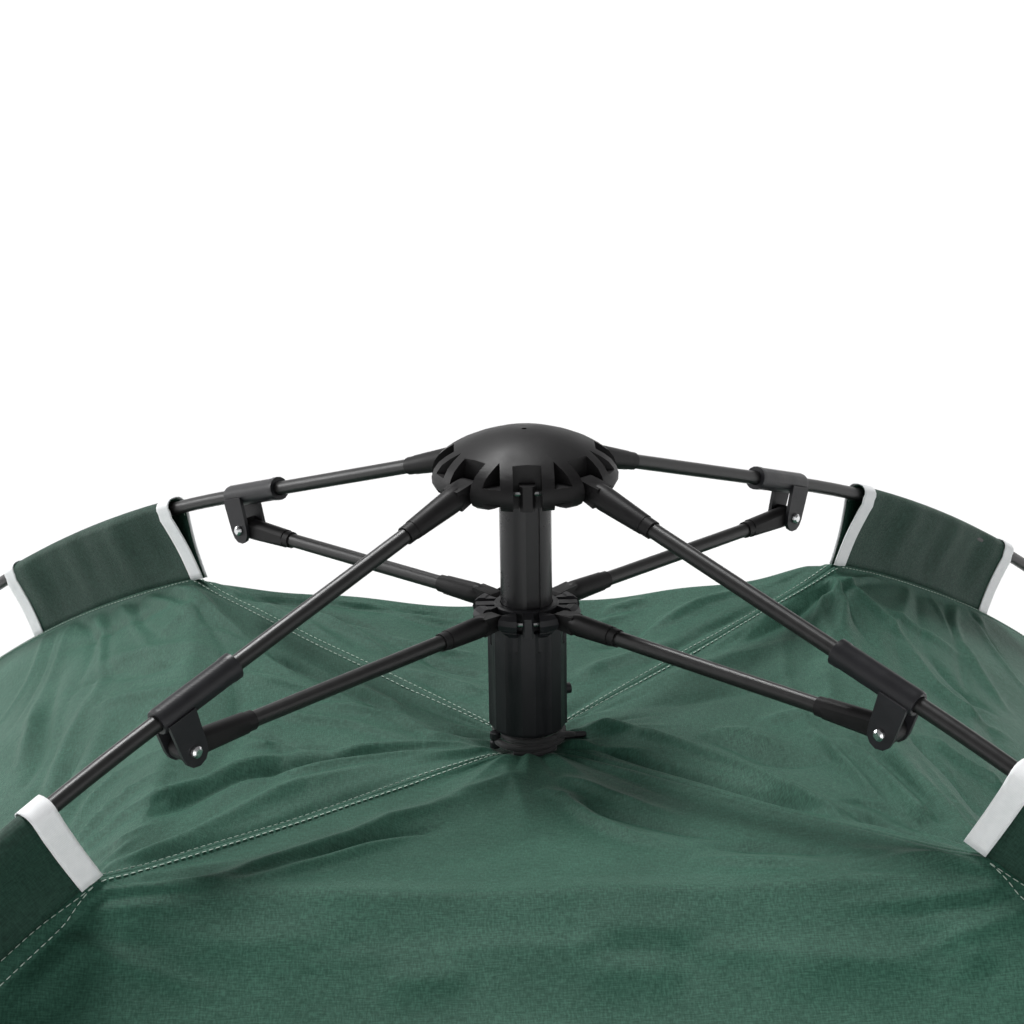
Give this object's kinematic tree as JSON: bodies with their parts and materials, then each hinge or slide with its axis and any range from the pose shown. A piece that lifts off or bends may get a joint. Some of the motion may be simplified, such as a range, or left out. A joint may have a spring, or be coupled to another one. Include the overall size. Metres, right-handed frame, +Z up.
{
  "type": "dome shelter frame and canopy",
  "caption": "Square dome shelter: sprung poles fold from a top hub, braced by struts to a sliding runner, with a fabric canopy hung under the poles by sewn webs.",
  "frame": {"origin": "on the ground plane, under the centre of the hub", "axes": "+Z up; +Y towards the rear face; the poles stand over the four diagonals"},
  "size_m": [1.959, 1.959, 1.4229],
  "materials": {
    "hub_plastic": "satin moulded plastic",
    "tube_black": "smooth black, semi gloss",
    "rod_black": "black wrapped fibreglass",
    "steel": "bright plated steel",
    "ferrule_steel": "dull steel",
    "canopy_cloth": "dark green woven polyester",
    "binding_tape": "pale grey woven tape",
    "thread": "pale thread",
    "black_cord": "black braided cord"
  },
  "bodies": {
    "root": {"top_hub": "hub_plastic", "hub_ring_wire": "steel", "centre_tube": "tube_black"},
    "runner": {"runner": "hub_plastic", "runner_ring_wire": "steel", "tie_cord": "black_cord", "cord_lock": "hub_plastic", "toggle_bar": "hub_plastic"},
    "pole_fl": {"pole_socket_fl": "hub_plastic", "pole_upper_fl": "rod_black", "t_joint_fl": "hub_plastic", "rivet_a_fl": "steel", "rivet_b_fl": "steel", "ferrule_fl": "ferrule_steel", "web_fl": "canopy_cloth", "canopy_fl": "canopy_cloth"},
    "leg_fl": {"pole_lower_fl": "rod_black", "foot_fl": "hub_plastic"},
    "strut_fl": {"strut_eye_fl": "hub_plastic", "strut_rod_fl": "rod_black", "strut_end_fl": "hub_plastic"},
    "pole_fr": {"pole_socket_fr": "hub_plastic", "pole_upper_fr": "rod_black", "t_joint_fr": "hub_plastic", "rivet_a_fr": "steel", "rivet_b_fr": "steel", "ferrule_fr": "ferrule_steel", "web_fr": "canopy_cloth", "canopy_fr": "canopy_cloth"},
    "leg_fr": {"pole_lower_fr": "rod_black", "foot_fr": "hub_plastic"},
    "strut_fr": {"strut_eye_fr": "hub_plastic", "strut_rod_fr": "rod_black", "strut_end_fr": "hub_plastic"},
    "pole_rl": {"pole_socket_rl": "hub_plastic", "pole_upper_rl": "rod_black", "t_joint_rl": "hub_plastic", "rivet_a_rl": "steel", "rivet_b_rl": "steel", "ferrule_rl": "ferrule_steel", "web_rl": "canopy_cloth", "canopy_rl": "canopy_cloth"},
    "leg_rl": {"pole_lower_rl": "rod_black", "foot_rl": "hub_plastic"},
    "strut_rl": {"strut_eye_rl": "hub_plastic", "strut_rod_rl": "rod_black", "strut_end_rl": "hub_plastic"},
    "pole_rr": {"pole_socket_rr": "hub_plastic", "pole_upper_rr": "rod_black", "t_joint_rr": "hub_plastic", "rivet_a_rr": "steel", "rivet_b_rr": "steel", "ferrule_rr": "ferrule_steel", "web_rr": "canopy_cloth", "canopy_rr": "canopy_cloth"},
    "leg_rr": {"pole_lower_rr": "rod_black", "foot_rr": "hub_plastic"},
    "strut_rr": {"strut_eye_rr": "hub_plastic", "strut_rod_rr": "rod_black", "strut_end_rr": "hub_plastic"}
  },
  "joints": [
    {"name": "fold_fl", "type": "hinge", "parent": "root", "child": "pole_fl", "pos_m": [-0.03111, -0.03111, 1.399], "axis": [0.7071, -0.7071, 0], "range_deg": [0, 42], "deforming": ["canopy_fl", "web_fl"]},
    {"name": "strut_swing_fl", "type": "hinge", "parent": "runner", "child": "strut_fl", "pos_m": [-0.01838, -0.01838, 1.318], "axis": [0.7071, -0.7071, 0], "range_deg": [0, 59.1]},
    {"name": "leg_pull_fl", "type": "slide", "parent": "pole_fl", "child": "leg_fl", "axis": [-0.4639, -0.4639, -0.7547], "range_m": [0, 0.04]},
    {"name": "fold_fr", "type": "hinge", "parent": "root", "child": "pole_fr", "pos_m": [0.03111, -0.03111, 1.399], "axis": [0.7071, 0.7071, 0], "range_deg": [0, 42], "deforming": ["canopy_fr", "web_fr"]},
    {"name": "strut_swing_fr", "type": "hinge", "parent": "runner", "child": "strut_fr", "pos_m": [0.01838, -0.01838, 1.318], "axis": [0.7071, 0.7071, 0], "range_deg": [0, 59.1]},
    {"name": "leg_pull_fr", "type": "slide", "parent": "pole_fr", "child": "leg_fr", "axis": [0.4639, -0.4639, -0.7547], "range_m": [0, 0.04]},
    {"name": "fold_rl", "type": "hinge", "parent": "root", "child": "pole_rl", "pos_m": [-0.03111, 0.03111, 1.399], "axis": [-0.7071, -0.7071, 0], "range_deg": [0, 42], "deforming": ["canopy_rl", "web_rl"]},
    {"name": "strut_swing_rl", "type": "hinge", "parent": "runner", "child": "strut_rl", "pos_m": [-0.01838, 0.01838, 1.318], "axis": [-0.7071, -0.7071, 0], "range_deg": [0, 59.1]},
    {"name": "leg_pull_rl", "type": "slide", "parent": "pole_rl", "child": "leg_rl", "axis": [-0.4639, 0.4639, -0.7547], "range_m": [0, 0.04]},
    {"name": "fold_rr", "type": "hinge", "parent": "root", "child": "pole_rr", "pos_m": [0.03111, 0.03111, 1.399], "axis": [-0.7071, 0.7071, 0], "range_deg": [0, 42], "deforming": ["canopy_rr", "web_rr"]},
    {"name": "strut_swing_rr", "type": "hinge", "parent": "runner", "child": "strut_rr", "pos_m": [0.01838, 0.01838, 1.318], "axis": [-0.7071, 0.7071, 0], "range_deg": [0, 59.1]},
    {"name": "leg_pull_rr", "type": "slide", "parent": "pole_rr", "child": "leg_rr", "axis": [0.4639, 0.4639, -0.7547], "range_m": [0, 0.04]},
    {"name": "runner_slide", "type": "slide", "parent": "root", "child": "runner", "axis": [0, 0, 1], "range_m": [0, 0.0727]}
  ],
  "couplings": [
    {"joint": "fold_fr", "follows": "fold_fl", "ratio": 1},
    {"joint": "fold_rl", "follows": "fold_fl", "ratio": 1},
    {"joint": "fold_rr", "follows": "fold_fl", "ratio": 1},
    {"joint": "strut_swing_fl", "follows": "fold_fl", "ratio": 1.4015},
    {"joint": "strut_swing_fr", "follows": "fold_fl", "ratio": 1.4015},
    {"joint": "strut_swing_rl", "follows": "fold_fl", "ratio": 1.4015},
    {"joint": "strut_swing_rr", "follows": "fold_fl", "ratio": 1.4015},
    {"joint": "runner_slide", "follows": "fold_fl", "m_per_rad": 0.098624}
  ]
}
